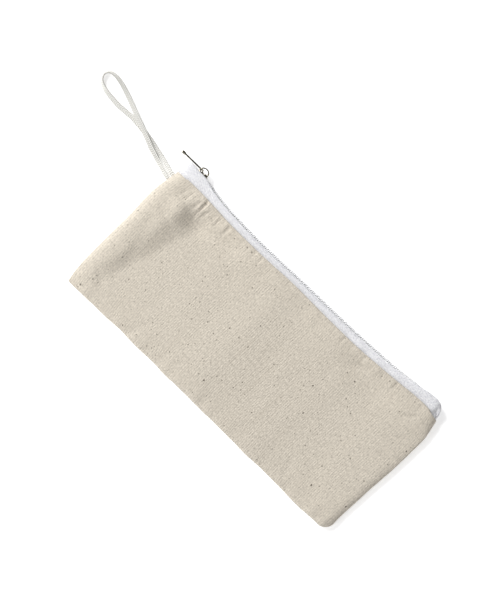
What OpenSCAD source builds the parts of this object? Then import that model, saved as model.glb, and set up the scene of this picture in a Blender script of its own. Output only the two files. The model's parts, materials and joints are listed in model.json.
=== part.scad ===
// Flat zipped pencil case: an unlined cotton canvas pouch with a nylon coil zip along its top
// edge and a braid loop sewn into its left seam. It is empty, closed and lies on its back.
// Origin: on the flat back face, midway between the side seams and midway between the bottom
// fold and the zip's outer edge. +X runs along the zip away from the closed end, +Y runs
// towards the zip and +Z out of the front panel. Millimetres.

/* [Pouch] */
// Length between the two side seams
pouch_length = 214; // [190:1:240]
// Thickness of the empty pouch
pouch_thickness = 9.6; // [9.4:0.1:14]
// Distance from the origin to the bottom fold
bottom_depth = 50; // [40:1:60]
// Thickness of the canvas
canvas_t = 0.7; // [0.5:0.05:0.8]
// Width of the seam allowance inside the pouch
allowance = 8; // [6:0.5:10]
// Width over which the panels fall to the bottom fold
bottom_roll = 10; // [8:0.5:14]
// Width over which the panels fall to the side seams
side_roll = 6; // [5:0.5:6]
// Radius of the two bottom corners
corner_r = 4; // [2:0.5:6]

/* [Zip] */
// Distance from the origin to the plane of the zip's tapes
zip_y = 48.4; // [46:0.1:50]
// Thickness of the zip's tapes
tape_t = 0.45; // [0.35:0.05:0.5]
// How far the canvas edge lies below the zip's plane
band_width = 6.4; // [5:0.1:7]
// How far the tapes reach under the canvas
tape_overlap = 8; // [6:0.5:10]
// Distance between two turns of one coil
coil_pitch = 1.3; // [1.25:0.05:1.4]
// Height of the coil above the tape
coil_height = 1.3; // [1.2:0.05:1.35]
// Overall width of the closed chain
chain_width = 4; // [3.8:0.1:4.1]

/* [Slider] */
// Length of the slider's body
slider_length = 7; // [7:0.5:9]
// Thickness of each slider plate
plate_t = 0.75; // [0.6:0.05:0.8]
// Mean radius of the bridge that carries the pull tab
bridge_r = 2.75; // [2.4:0.05:2.9]
// Length from the bridge's centre to the tip of the pull tab
pull_length = 18.3; // [15:0.1:24]
// Width of the pull tab
pull_width = 5; // [4:0.5:6]

/* [Loop] */
// Width of the flat braid
strap_width = 3; // [2.6:0.1:3.2]
// Thickness of the flat braid
strap_t = 1.2; // [1:0.1:1.3]

/* [Thread] */
// Thickness of the sewing thread
thread_t = 0.25; // [0.15:0.05:0.3]
// Length of one seam stitch
stitch = 3; // [2.5:0.5:4]
// Length of one overcast stitch
overcast_pitch = 3.2; // [3:0.2:5]

/* [Hidden] */
$fn = 48;
eps = 0.01;

// Pouch. Heights called "rise" are measured from the seam plane, which halves the thickness.
seam_z = pouch_thickness / 2;
half_length = pouch_length / 2;
hem_y = zip_y - band_width;
allowance_x = half_length - allowance;
allowance_y = allowance - bottom_depth;
roll_steps = 10;
turn_in = 0.3;

// Stitching. Insets run from the edge of the cloth, margins are bare lengths at a seam's ends.
seam_inset = canvas_t + 0.4;
seam_margin = 6;
overcast_margin = 4;
overcast_bite = 2.2;
zip_seam_inset = 1.6;
zip_seam_cloth = 0.95;
tack_inset = 4;
tack_y = 36.2;
tack_length = 6.4;
tack_pitch = 0.8;

// Zip, seen from the seam plane outwards
tape_gap = 1;
tape_flat = 3.85;
tape_bend_r = 0.5;
tape_rise = tape_flat + tape_bend_r;
hem_rise = seam_z - 2 * canvas_t - tape_t / 2 - 0.06;
tape_low_y = hem_y - tape_overlap;
tape_crest = 1.9;
tape_entry = 0.6;
tuck_end = 0.4;
tuck_side = 0.1;
tape_half_length = half_length - 5.5;
tuck_rise = canvas_t + 0.06;
coil_y = zip_y + tape_t / 2 + 0.05;
coil_top_y = coil_y + coil_height;
wire_t = 0.5;
coil_outer = chain_width / 2;
coil_spine = coil_outer - 0.45;
coil_head = -0.4;
head_round = 0.12;
cord_rise = 0.95;
cord_w = 0.6;
cord_t = 0.5;
cord_slack = 0.03;
stitch_rise = 1.4;

// Slider and stops along the zip
slider_x = -half_length + 10.5;
split_x = slider_x + 3.3;
split_slope = 0.57;
split_most = 1.2;
coil_start = slider_x - 0.1;
coil_end = half_length - 8.9;
turns = floor((coil_end - coil_start) / coil_pitch) - 1;
stop_gap = 0.1;
top_stop_length = 1.6;
bottom_stop_length = 2.3;
stop_t = 0.35;
top_stop_rise = 2.3;
stop_grip = 5;
plate_low_y = zip_y - tape_t / 2 - 0.375;
plate_high_y = coil_top_y + 0.375;
flange_gap = 0.125;

// Bridge and pull tab
bridge_x = slider_x + 3.4;
bridge_y = plate_high_y + plate_t + 0.95;
bridge_w = 1.6;
bridge_t = 0.76;
pull_t = 0.8;
pull_tip_t = 1.8;
pull_tip_length = 3.2;
pull_neck = 3.4;
pull_inner = 1.2;
eye_in = 1.85;
eye_out = 3.6;
eye_w = 2.2;

// Route of the braid loop: x, y, z and the braid's tilt in degrees, 0 when it lies flat. It
// leaves the left seam, crosses over its own return half, turns round on edge and comes back.
LOOP_ROUTE = [
    [-101, 34.4, 4.8, 0],
    [-107, 34.8, 4.8, 0],
    [-112, 36.2, 3.4, 0],
    [-117, 37.7, 2.3, 0],
    [-122, 39.4, 2.1, 0],
    [-126, 40.7, 2.1, 0],
    [-130, 42.4, 2.1, 0],
    [-137, 45.3, 2.1, 0],
    [-146, 48.9, 2.1, 0],
    [-152, 51.3, 1.6, 5],
    [-158, 53.7, 1.2, 12],
    [-164, 55.7, 1.3, 25],
    [-170, 56.9, 1.7, 45],
    [-173.8, 56.4, 1.85, 58],
    [-176, 54.4, 1.9, 62],
    [-176.2, 51.8, 1.9, 62],
    [-174.4, 49, 1.85, 58],
    [-169.5, 46.7, 1.6, 40],
    [-164, 45.8, 1.2, 20],
    [-158, 45.4, 0.95, 8],
    [-152, 45.6, 0.7, 0],
    [-147, 45.9, 0.7, 0],
    [-142, 45.5, 0.7, 0],
    [-137, 44.9, 0.7, 0],
    [-130, 43.9, 0.7, 0],
    [-123, 42.3, 0.75, 0],
    [-117, 41, 1.4, 0],
    [-111, 39.3, 3.4, 0],
    [-107, 38.1, 4.8, 0],
    [-101, 37.9, 4.8, 0]
];
loop_parts = 2;

// ---------------------------------------------------------------------------------------
// Functions

// Sine and cosine steps of a quarter of an ellipse, from its foot to its crest
function quarter_x(i) = cos(90 * i / roll_steps);
function quarter_z(i) = sin(90 * i / roll_steps);

// Cross-section of a panel between the side seams, down to "below" under the seam plane
function length_profile(half, run, rise, below) = concat(
    [[-half, -below], [half, -below]],
    [for (i = [0:roll_steps]) [half - run * (1 - quarter_x(i)), rise * quarter_z(i)]],
    [for (i = [roll_steps:-1:0]) [-half + run * (1 - quarter_x(i)), rise * quarter_z(i)]]
);

// Cross-section of a panel from the bottom fold to the zip
function height_profile(low, high, run, rise, below) = concat(
    [[low, -below], [high, -below], [high, rise]],
    [for (i = [roll_steps:-1:0]) [low + run * (1 - quarter_x(i)), rise * quarter_z(i)]]
);

// Unit normal of a 2D path at point i
function path_normal(path, i) =
    let (ahead = path[min(i + 1, len(path) - 1)], behind = path[max(i - 1, 0)],
         along = ahead - behind)
    [-along.y, along.x] / norm(along);

// Outline of a strip of even thickness that follows a 2D path
function strip(path, thickness) = concat(
    [for (i = [0:len(path) - 1]) path[i] + path_normal(path, i) * thickness / 2],
    [for (i = [len(path) - 1:-1:0]) path[i] - path_normal(path, i) * thickness / 2]
);

// Centre line of a tape: flat beside the coil, round the zip's edge, then under the canvas
TAPE_PATH = concat(
    [[zip_y, tape_gap]],
    [for (a = [0:15:90]) [zip_y - tape_bend_r * (1 - cos(a)), tape_flat + tape_bend_r * sin(a)]],
    [[zip_y - tape_crest, tape_rise], [hem_y + tape_entry, hem_rise], [tape_low_y, hem_rise]]
);

// How far each coil swings aside at x to pass the slider's wedge
function spread(x) = min(split_most, max(0, (split_x - x) * split_slope));

// Corners of one turn of the coil, seen along Y, from its spine round the head and back
function turn_outline(x) = let (s = spread(x), w = wire_t / 2) [
    [x + w, coil_spine + s],
    [x + w, coil_head + head_round + s],
    [x + w - head_round, coil_head + s],
    [x - w + head_round, coil_head + s],
    [x - w, coil_head + head_round + s],
    [x - w, coil_spine + s]
];

// Outline of a whole coil whose first turn stands at x = first
function coil_outline(first) = concat(
    [for (x = [first - wire_t / 2, split_x - split_most / split_slope, split_x,
               first + turns * coil_pitch + wire_t / 2]) [x, coil_outer + spread(x)]],
    [for (i = [turns:-1:0], p = turn_outline(first + i * coil_pitch)) p]
);

// Centre line of the core cord inside a coil
function cord_path(first) = [
    for (x = [first - wire_t, split_x - split_most / split_slope, split_x,
              first + turns * coil_pitch + wire_t])
        [x, cord_rise + spread(x)]
];

// Point between b and c on a smooth curve through a, b, c and d
function smooth(a, b, c, d, t) =
    0.5 * (2 * b + (c - a) * t + (2 * a - 5 * b + 4 * c - d) * t * t
        + (3 * b - a - 3 * c + d) * t * t * t);

// The loop's route with extra points between those of LOOP_ROUTE
LAST = len(LOOP_ROUTE) - 1;
LOOP_POINTS = concat(
    [for (i = [0:LAST - 1], k = [0:loop_parts - 1])
        smooth(LOOP_ROUTE[max(i - 1, 0)], LOOP_ROUTE[i], LOOP_ROUTE[i + 1],
               LOOP_ROUTE[min(i + 2, LAST)], k / loop_parts)],
    [LOOP_ROUTE[LAST]]
);
function place(p) = [p[0], p[1], p[2]];
function unit(v) = v / norm(v);

// Eight corners of the braid's cross-section: across its width, through its thickness
BRAID = let (w = strap_width / 2, h = strap_t / 2, c = h / 2) [
    [w, -c], [w, c], [w - c, h], [c - w, h], [-w, c], [-w, -c], [c - w, -h], [w - c, -h]
];

// One ring of the braid's surface
function braid_ring(i) =
    let (n = len(LOOP_POINTS) - 1,
         along = unit(place(LOOP_POINTS[min(i + 1, n)]) - place(LOOP_POINTS[max(i - 1, 0)])),
         level = unit(cross([0, 0, 1], along)),
         up = cross(along, level),
         tilt = LOOP_POINTS[i][3],
         across = level * cos(tilt) + up * sin(tilt),
         through = up * cos(tilt) - level * sin(tilt))
    [for (c = BRAID) place(LOOP_POINTS[i]) + across * c.x + through * c.y];

// ---------------------------------------------------------------------------------------
// Building blocks

// Extrudes a drawing of (y, z) along X
module along_x(length) {
    rotate([90, 0, 90]) linear_extrude(length, center = true) children();
}

// Extrudes a drawing of (x, z) from y = low to y = high
module along_y(low, high) {
    translate([0, high, 0]) rotate([90, 0, 0]) linear_extrude(high - low) children();
}

// Places a front piece, drawn from the seam plane upwards
module front() {
    translate([0, 0, seam_z]) children();
}

// Places a back piece, the mirror image of a front one
module back() {
    translate([0, 0, seam_z]) mirror([0, 0, 1]) children();
}

// Outline of the canvas, seen from above, drawn in on every side by "inset"
module canvas_outline(inset) {
    half = half_length - inset;
    low = -bottom_depth + inset;
    r = corner_r - inset;
    high = hem_y - canvas_t;
    translate([-half, low + r]) square([2 * half, high - low - r]);
    translate([-half + r, low]) square([2 * (half - r), 2 * r]);
    for (side = [-1, 1]) translate([side * (half - r), low + r]) circle(r);
}

// Solid under one panel, "inset" below its outer surface
module pillow(inset, below) {
    rise = seam_z - inset;
    intersection() {
        translate([0, 0, -below]) linear_extrude(rise + below) canvas_outline(inset);
        along_y(-bottom_depth, hem_y)
            polygon(length_profile(half_length - inset, side_roll - inset, rise, below));
        along_x(pouch_length)
            polygon(height_profile(-bottom_depth + inset, hem_y, bottom_roll - inset, rise, below));
    }
}

// One canvas panel: its outer layer, the turned-in seam allowances and the folded zip edge
module panel() {
    difference() {
        pillow(0, 0);
        pillow(canvas_t, 1);
    }
    linear_extrude(canvas_t) difference() {
        canvas_outline(turn_in);
        translate([-allowance_x, allowance_y])
            square([2 * allowance_x, hem_y - allowance_y + 1]);
    }
    difference() {
        pillow(canvas_t - eps, 0);
        pillow(2 * canvas_t, 1);
        translate([-half_length, -bottom_depth, -eps])
            cube([pouch_length, tape_low_y + bottom_depth, pouch_thickness]);
        translate([-half_length, -bottom_depth, -eps])
            cube([pouch_length, 2 * bottom_depth, canvas_t + eps]);
    }
    translate([0, hem_y - canvas_t, seam_z - canvas_t])
        rotate([0, 90, 0]) cylinder(h = 2 * (half_length - side_roll), r = canvas_t, center = true);
}

// A zip tape with both ends tucked down to the seam allowance
module tape() {
    tuck = concat(
        [for (p = TAPE_PATH) if (p.x < zip_y - tuck_side) p],
        [[tape_low_y, tuck_rise], [zip_y - tuck_end, tuck_rise]]
    );
    along_x(2 * tape_half_length) polygon(strip(TAPE_PATH, tape_t));
    for (side = [-1, 1])
        translate([side * (tape_half_length - tape_t / 2), 0, 0])
            along_x(tape_t) polygon(tuck);
}

// A row of lockstitches along X: two threads joined by a leg at each needle hole. The cloth
// lies in the windows, from z = 0 to z = cloth.
module stitch_row(length, pitch, cloth) {
    count = floor(length / pitch);
    translate([0, thread_t / 2, -thread_t]) rotate([90, 0, 0]) linear_extrude(thread_t)
        difference() {
            translate([-count * pitch / 2 - thread_t / 2, 0])
                square([count * pitch + thread_t, cloth + 2 * thread_t]);
            for (i = [0:count - 1])
                translate([(i - count / 2) * pitch + thread_t / 2, thread_t])
                    square([pitch - thread_t, cloth]);
        }
}

// Overcast stitches along X round a raw edge at y = 0; the cloth lies towards -Y
module overcast_row(length) {
    cloth = 2 * canvas_t;
    count = floor(length / overcast_pitch);
    for (i = [0:count])
        translate([(i - count / 2) * overcast_pitch, 0, 0]) along_x(thread_t) difference() {
            translate([-overcast_bite - thread_t, -cloth / 2 - thread_t])
                square([overcast_bite + 2 * thread_t, cloth + 2 * thread_t]);
            translate([-overcast_bite, -cloth / 2]) square([overcast_bite, cloth]);
        }
    translate([-count * overcast_pitch / 2, 0, -thread_t / 2])
        cube([count * overcast_pitch, thread_t, thread_t]);
}

module coil(first) {
    along_y(coil_y, coil_top_y) polygon(coil_outline(first));
}

module core_cord(first, slack) {
    middle = (coil_y + coil_top_y) / 2;
    along_y(middle - cord_t / 2 - slack, middle + cord_t / 2 + slack)
        polygon(strip(cord_path(first), cord_w + 2 * slack));
}

// A coil with the channel that its core cord fills. "first" is where its first turn stands.
module coil_half(first) {
    difference() {
        coil(first);
        core_cord(first, cord_slack);
    }
}

module coil_stitching(first) {
    start = first + ceil((split_x - first) / coil_pitch) * coil_pitch + coil_pitch / 2;
    length = floor((coil_end - start) / coil_pitch - 1) * coil_pitch;
    low = zip_y - tape_t / 2 - 0.02;
    translate([start + length / 2, low, stitch_rise]) rotate([-90, 0, 0])
        stitch_row(length, coil_pitch, coil_top_y + 0.02 - low);
}

// A clamp round a tape's edge at the open end of a coil
module top_stop() {
    stop_end = coil_start - wire_t - stop_gap;
    low = zip_y - tape_t / 2 - stop_t;
    difference() {
        translate([stop_end - top_stop_length, low, tape_gap - stop_t])
            cube([top_stop_length, coil_top_y - low, top_stop_rise]);
        translate([stop_end - top_stop_length - 1, zip_y - tape_t / 2 - eps, tape_gap - eps])
            cube([top_stop_length + 2, tape_t + 2 * eps, stop_grip]);
    }
}

// Plan of the slider's plates: x from the mouth, half width
SLIDER_PLAN = [
    [0, 2.6], [0.25, 3.3], [0.9, 3.75], [1.8, 3.9], [2.8, 3.75], [4.2, 2.95], [5, 2.75],
    [slider_length - 0.4, 2.75], [slider_length, 2.35]
];
// Plan of the channel between the flanges
CHANNEL_PLAN = [[-1, 3.35], [1.8, 3.35], [4.2, 2.3], [slider_length + 1, 2.25]];
// Plan of the wedge that parts the coils
WEDGE_PLAN = [[0, 0.4], [0.5, 0.65], [1.1, 0.65], [2.5, 0]];

// A plan with its mirror image, standing between two heights of y
module plan(points, low, high) {
    mirrored = [for (i = [len(points) - 1:-1:0]) [points[i].x, -points[i].y]];
    along_y(low, high) polygon(concat(points, mirrored));
}

module slider_flanges(low, high) {
    difference() {
        plan(SLIDER_PLAN, low, high);
        plan(CHANNEL_PLAN, low - 1, high + 1);
    }
}

// ---------------------------------------------------------------------------------------
// Sub-parts

module front_panel() {
    color("#d8d0bf") front() panel();
}

module back_panel() {
    color("#cfc6b4") back() panel();
}

module side_seam(side) {
    translate([side * (half_length - seam_inset), (hem_y - bottom_depth) / 2, seam_z - canvas_t])
        rotate([0, 0, 90])
            stitch_row(hem_y + bottom_depth - 2 * seam_margin, stitch, 2 * canvas_t);
}

module left_seam_thread() {
    color("#efece2") side_seam(-1);
}

module right_seam_thread() {
    color("#efece2") side_seam(1);
}

module bottom_seam_thread() {
    color("#efece2")
        translate([0, -bottom_depth + seam_inset, seam_z - canvas_t])
            stitch_row(pouch_length - 2 * seam_margin, stitch, 2 * canvas_t);
}

module side_overcast(side) {
    translate([side * allowance_x, (tape_low_y + allowance_y) / 2, seam_z])
        rotate([0, 0, side * 90]) overcast_row(tape_low_y - allowance_y - 2 * overcast_margin);
}

module left_overcast_thread() {
    color("#efece2") side_overcast(-1);
}

module right_overcast_thread() {
    color("#efece2") side_overcast(1);
}

module bottom_overcast_thread() {
    color("#efece2") translate([0, allowance_y, seam_z])
        overcast_row(2 * (allowance_x - overcast_margin));
}

module front_zip_tape() {
    color("#f2f2f7") front() tape();
}

module back_zip_tape() {
    color("#f2f2f7") back() tape();
}

module zip_seam() {
    translate([0, hem_y - zip_seam_inset, hem_rise - tape_t / 2])
        stitch_row(2 * (tape_half_length - overcast_margin), stitch, zip_seam_cloth);
}

module front_zip_seam_thread() {
    color("#efece2") front() zip_seam();
}

module back_zip_seam_thread() {
    color("#efece2") back() zip_seam();
}

module front_coil() {
    color("white") front() coil_half(coil_start + wire_t / 2);
}

module back_coil() {
    color("white") back() coil_half(coil_start + wire_t / 2 + coil_pitch / 2);
}

module front_core_cord() {
    color("#e8e8ec") front() core_cord(coil_start + wire_t / 2, 0);
}

module back_core_cord() {
    color("#e8e8ec") back() core_cord(coil_start + wire_t / 2 + coil_pitch / 2, 0);
}

module front_coil_stitching() {
    color("#f8f8fb") front() coil_stitching(coil_start + wire_t / 2);
}

module back_coil_stitching() {
    color("#f8f8fb") back() coil_stitching(coil_start + wire_t / 2 + coil_pitch / 2);
}

module front_top_stop() {
    color("#c9c9cc") front() top_stop();
}

module back_top_stop() {
    color("#c9c9cc") back() top_stop();
}

module bottom_stop() {
    low = zip_y - tape_t / 2 - stop_t;
    start = coil_end + stop_gap;
    half = coil_outer + stop_t;
    color("#c9c9cc") translate([start, 0, seam_z]) difference() {
        translate([0, low, -half])
            cube([bottom_stop_length, coil_top_y + stop_t - low, 2 * half]);
        for (side = [0, 1]) mirror([0, 0, side])
            translate([-1, zip_y - tape_t / 2 - eps, tape_gap - eps])
                cube([bottom_stop_length + 2, tape_t + 2 * eps, stop_grip]);
    }
}

module slider_body() {
    color("#6d6a63") translate([slider_x, 0, seam_z]) {
        plan(SLIDER_PLAN, plate_low_y - plate_t, plate_low_y);
        plan(SLIDER_PLAN, plate_high_y, plate_high_y + plate_t);
        slider_flanges(plate_low_y - eps, zip_y - tape_t / 2 - flange_gap);
        slider_flanges(zip_y + tape_t / 2 + flange_gap, plate_high_y + eps);
        plan(WEDGE_PLAN, plate_low_y - eps, plate_high_y + eps);
    }
}

// A flat band bent to a half ring, on two short feet that stand on the outer plate
module slider_bridge() {
    foot = bridge_y - plate_high_y - plate_t;
    color("#8b887f") translate([bridge_x, bridge_y, seam_z]) {
        rotate_extrude(angle = 180)
            translate([bridge_r - bridge_t / 2, -bridge_w / 2]) square([bridge_t, bridge_w]);
        for (side = [-1, 1])
            translate([side * bridge_r - bridge_t / 2, -foot, -bridge_w / 2])
                cube([bridge_t, foot + eps, bridge_w]);
    }
}

// Lies along -X from the bridge: an eye round the bridge's band, a flat blade and a thick bead
module pull_tab() {
    blade_start = eye_out + 1;
    blade_length = pull_length - blade_start - pull_tip_t / 2;
    color("#8b887f") translate([bridge_x, bridge_y, seam_z]) mirror([1, 0, 0]) {
        translate([0, -pull_t / 2, 0]) rotate([-90, 0, 0]) linear_extrude(pull_t) difference() {
            union() {
                translate([pull_inner, -pull_neck / 2]) square([blade_start - pull_inner, pull_neck]);
                translate([blade_start, -pull_width / 2]) square([blade_length, pull_width]);
                polygon([[eye_out - 0.6, -pull_neck / 2], [blade_start + eps, -pull_width / 2],
                         [blade_start + eps, pull_width / 2], [eye_out - 0.6, pull_neck / 2]]);
            }
            translate([eye_in, -eye_w / 2]) square([eye_out - eye_in, eye_w]);
        }
        hull() for (x = [pull_length - pull_tip_length + pull_tip_t / 2, pull_length - pull_tip_t / 2])
            translate([x, 0, 0]) cylinder(h = pull_width, d = pull_tip_t, center = true);
    }
}

module loop_strap() {
    rings = len(LOOP_POINTS);
    sides = len(BRAID);
    color("#f3f1ea") polyhedron(
        points = [for (i = [0:rings - 1], p = braid_ring(i)) p],
        faces = concat(
            [[for (k = [0:sides - 1]) k]],
            [for (i = [0:rings - 2], k = [0:sides - 1])
                let (next = (k + 1) % sides)
                [i * sides + k, (i + 1) * sides + k, (i + 1) * sides + next, i * sides + next]],
            [[for (k = [sides - 1:-1:0]) (rings - 1) * sides + k]]
        )
    );
}

// Close stitches through the allowance and both ends of the braid
module loop_bar_tack() {
    color("#f3f1ea") translate([-half_length + tack_inset, tack_y, seam_z - canvas_t])
        rotate([0, 0, 90]) stitch_row(tack_length, tack_pitch, 2 * canvas_t);
}

front_panel();
back_panel();
left_seam_thread();
right_seam_thread();
bottom_seam_thread();
left_overcast_thread();
right_overcast_thread();
bottom_overcast_thread();
front_zip_tape();
back_zip_tape();
front_zip_seam_thread();
back_zip_seam_thread();
front_coil();
back_coil();
front_core_cord();
back_core_cord();
front_coil_stitching();
back_coil_stitching();
front_top_stop();
back_top_stop();
bottom_stop();
slider_body();
slider_bridge();
pull_tab();
loop_strap();
loop_bar_tack();
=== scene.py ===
"""Visual model of the flat zipped pencil case, in metres, in the CAD model's frame.

+X runs along the zip, +Y towards it and +Z out of the front panel. The case lies on its back.
Lengths written as a number times MM are millimetres.
"""

import json
import math

import bmesh
import bpy
import numpy as np
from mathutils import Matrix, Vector


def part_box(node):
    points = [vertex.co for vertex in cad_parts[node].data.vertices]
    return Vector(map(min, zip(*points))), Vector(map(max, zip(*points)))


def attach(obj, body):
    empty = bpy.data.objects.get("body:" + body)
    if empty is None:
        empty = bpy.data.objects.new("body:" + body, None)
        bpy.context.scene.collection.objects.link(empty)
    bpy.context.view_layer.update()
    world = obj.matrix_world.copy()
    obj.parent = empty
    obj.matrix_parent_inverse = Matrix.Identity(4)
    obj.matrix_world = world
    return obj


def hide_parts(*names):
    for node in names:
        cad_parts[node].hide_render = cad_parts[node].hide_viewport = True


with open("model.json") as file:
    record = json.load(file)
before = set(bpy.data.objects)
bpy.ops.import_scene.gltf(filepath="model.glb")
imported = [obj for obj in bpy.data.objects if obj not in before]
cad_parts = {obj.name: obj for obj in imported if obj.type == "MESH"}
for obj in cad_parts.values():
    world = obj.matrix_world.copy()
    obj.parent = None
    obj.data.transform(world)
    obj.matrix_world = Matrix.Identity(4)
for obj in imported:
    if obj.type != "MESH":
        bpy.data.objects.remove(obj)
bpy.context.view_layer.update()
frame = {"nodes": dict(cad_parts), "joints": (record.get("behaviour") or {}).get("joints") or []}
MM = 0.001


def cad_range(node, axis):
    """Lowest and highest coordinate of a CAD node along an axis, 0 to 2."""
    low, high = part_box(node)
    return low[axis], high[axis]


# ---------------------------------------------------------------------------------------
# Places taken from the CAD model

LEFT, RIGHT = cad_range("front_panel", 0)
BOTTOM, HEM = cad_range("front_panel", 1)
SEAM_Z = cad_range("front_panel", 2)[0]
TAPE_T = 0.45 * MM
CANVAS_T = 0.7 * MM
ZIP_Y = cad_range("front_zip_tape", 1)[1] - TAPE_T / 2
COIL_LOW, COIL_HIGH = cad_range("front_coil", 1)
COIL_START, COIL_END = cad_range("front_coil", 0)
SLIDER_LEFT = cad_range("slider_body", 0)[0]
PLATE_LOW, PLATE_HIGH = cad_range("slider_body", 1)
PULL_JOINT = [j for j in frame["joints"] if j["name"] == "pull_swing"][0]
PIVOT = Vector(PULL_JOINT["pos_m"])
ALLOWANCE = 8 * MM
LENGTH = RIGHT - LEFT
HEIGHT = HEM - BOTTOM


# ---------------------------------------------------------------------------------------
# Curves and noise


def curve(points, unit=1, value_unit=1):
    """A smooth function through (place, value) pairs, flat beyond the first and last."""
    xs = np.array([p[0] for p in points], float) * unit
    ys = np.array([p[1] for p in points], float) * value_unit
    slopes = np.gradient(ys, xs)

    def at(x):
        x = np.clip(np.asarray(x, float), xs[0], xs[-1])
        i = np.clip(np.searchsorted(xs, x, side="right") - 1, 0, len(xs) - 2)
        h = xs[i + 1] - xs[i]
        t = (x - xs[i]) / h
        return (
            ys[i] * (1 + 2 * t) * (1 - t) ** 2
            + slopes[i] * h * t * (1 - t) ** 2
            + ys[i + 1] * t * t * (3 - 2 * t)
            + slopes[i + 1] * h * t * t * (t - 1)
        )

    return at


def smoothstep(x, low, high):
    t = np.clip((x - low) / (high - low), 0, 1)
    return t * t * (3 - 2 * t)


def soft_noise(x, y, size_x, size_y, seed):
    """Smooth noise from -1 to 1 whose bumps are about size_x by size_y across."""
    table = np.random.default_rng(seed).uniform(-1, 1, (64, 64))
    gx, gy = x / size_x + 1000, y / size_y + 1000
    ix, iy = np.floor(gx).astype(int), np.floor(gy).astype(int)
    tx, ty = gx - ix, gy - iy
    tx, ty = tx * tx * (3 - 2 * tx), ty * ty * (3 - 2 * ty)

    def corner(a, b):
        return table[(ix + a) % 64, (iy + b) % 64]

    low = corner(0, 0) * (1 - tx) + corner(1, 0) * tx
    high = corner(0, 1) * (1 - tx) + corner(1, 1) * tx
    return low * (1 - ty) + high * ty


def gauss(x, middle, width):
    return np.exp(-(((x - middle) / width) ** 2))


def crease(x, y, start, end, width):
    """1 along a straight crease from start to end, fading across its width and at its ends."""
    ax, ay = start
    bx, by = end
    length = math.hypot(bx - ax, by - ay)
    ux, uy = (bx - ax) / length, (by - ay) / length
    along = (x - ax) * ux + (y - ay) * uy
    across = (y - ay) * ux - (x - ax) * uy
    fade = smoothstep(along, -0.15 * length, 0.3 * length)
    fade = fade * (1 - smoothstep(along, 0.6 * length, 1.15 * length))
    return fade * np.exp(-((across / width) ** 2))


def spaced(length, step, fine=7 * MM):
    """Places from 0 to length, close together near both ends and "step" apart between."""
    ends = fine * (np.linspace(0, 1, 11) ** 1.7)
    middle = np.linspace(fine, length - fine, max(2, int((length - 2 * fine) / step)))
    return np.concatenate([ends[:-1], middle, (length - ends[::-1])[1:]])


# ---------------------------------------------------------------------------------------
# Outline of the pouch as it lies. u runs from 0 at the left seam to 1 at the right one, and
# v from 0 at the bottom fold to 1 at the zip.

left_edge = curve([(0, 0.1), (0.1, -1), (0.32, -1.3), (0.55, -0.7), (0.87, 0), (1, 2.2)])
right_edge = curve([(0, -1.8), (0.22, -1.3), (0.5, 0.7), (0.72, 1.8), (0.86, 2), (1, -0.2)])
bottom_edge = curve([(0, 0), (0.25, 0.4), (0.55, -0.3), (0.82, -0.9), (0.93, -1.2), (1, -0.6)])
hem_edge = curve(
    [(0, -0.5), (0.1, -0.7), (0.2, -2), (0.35, -2.2), (0.44, -1.6), (0.6, -2.2), (0.72, -2),
     (0.78, -1.2), (0.855, -0.1), (0.92, 1.05), (0.96, 0.9), (1, -0.6)]
)
zip_bow = curve(
    [(-103, 0.1), (-97, 0), (-88, 0), (-84, -0.5), (-79, -1.6), (-72, -2.5), (-60, -3.5),
     (-48, -4), (-35, -4.1), (-20, -3.9), (-5, -3.6), (20, -3.5), (40, -3.1), (61, -2.3),
     (72, -1.5), (82, -0.5), (90, 0), (103, 0)],
    MM
)


def outline_point(u, v):
    """Where the cloth point (u, v) lies, seen from above, in metres."""
    left = LEFT + left_edge(v) * MM
    right = RIGHT + right_edge(v) * MM
    low = BOTTOM + bottom_edge(u) * MM
    high = HEM + hem_edge(u) * MM
    x = left + (right - left) * u
    y = low + (high - low) * v
    wander = soft_noise(x, y, 13 * MM, 13 * MM, 5) + 0.5 * soft_noise(x, y, 5 * MM, 5 * MM, 6)
    rim = np.exp(-np.minimum(np.minimum(u, 1 - u) * LENGTH, v * HEIGHT) / (5 * MM))
    x = x + 0.3 * MM * wander * rim
    y = y + 0.3 * MM * wander * rim * (1 - v)
    return round_corner(x, y, u, v)


def round_corner(x, y, u, v):
    """Rounds the two bottom corners of the outline."""
    for side, radius in ((0, 1.5 * MM), (1, 6.5 * MM)):
        edge = (1 - u if side else u) * LENGTH
        a = np.clip(1 - edge / radius, 0, 1)
        b = np.clip(1 - v * HEIGHT / radius, 0, 1)
        sign = -1 if side else 1
        x = x + sign * radius * (a - a * np.sqrt(1 - b * b / 2))
        y = y + radius * (b - b * np.sqrt(1 - a * a / 2))
    return x, y


def chain_point(x, out, rise):
    """A point of the zip's chain at x: "out" from the tapes' plane, "rise" from the seam plane."""
    return x, ZIP_Y + zip_bow(x) * MM + out, SEAM_Z + rise + 0 * x


# ---------------------------------------------------------------------------------------
# Heights of the canvas


def fall(distance, run):
    """Rounded fall of a panel towards a seam: 0 at the seam, 1 from "run" inwards."""
    t = 1 - np.clip(distance / run, 0, 1)
    return np.sqrt(1 - t * t)


def puckers(x, from_hem, seed):
    """Small gathers that run from the zip seam into the canvas."""
    strength = 0.35 + 1.1 * gauss(x, -74 * MM, 24 * MM) + 0.35 * gauss(x, 60 * MM, 30 * MM)
    reach = (5 + 4 * gauss(x, -72 * MM, 22 * MM)) * MM
    fade = np.exp(-((from_hem / reach) ** 2)) * smoothstep(from_hem, -1 * MM, 1.5 * MM)
    fine = soft_noise(x, from_hem * 0.3, 2.4 * MM, 14 * MM, seed)
    wide = soft_noise(x, from_hem * 0.3, 5.5 * MM, 20 * MM, seed + 1)
    folds = -1.8 * np.maximum(fine, 0) ** 2
    return (0.3 * fine + folds + 0.5 * wide) * strength * fade


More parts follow.
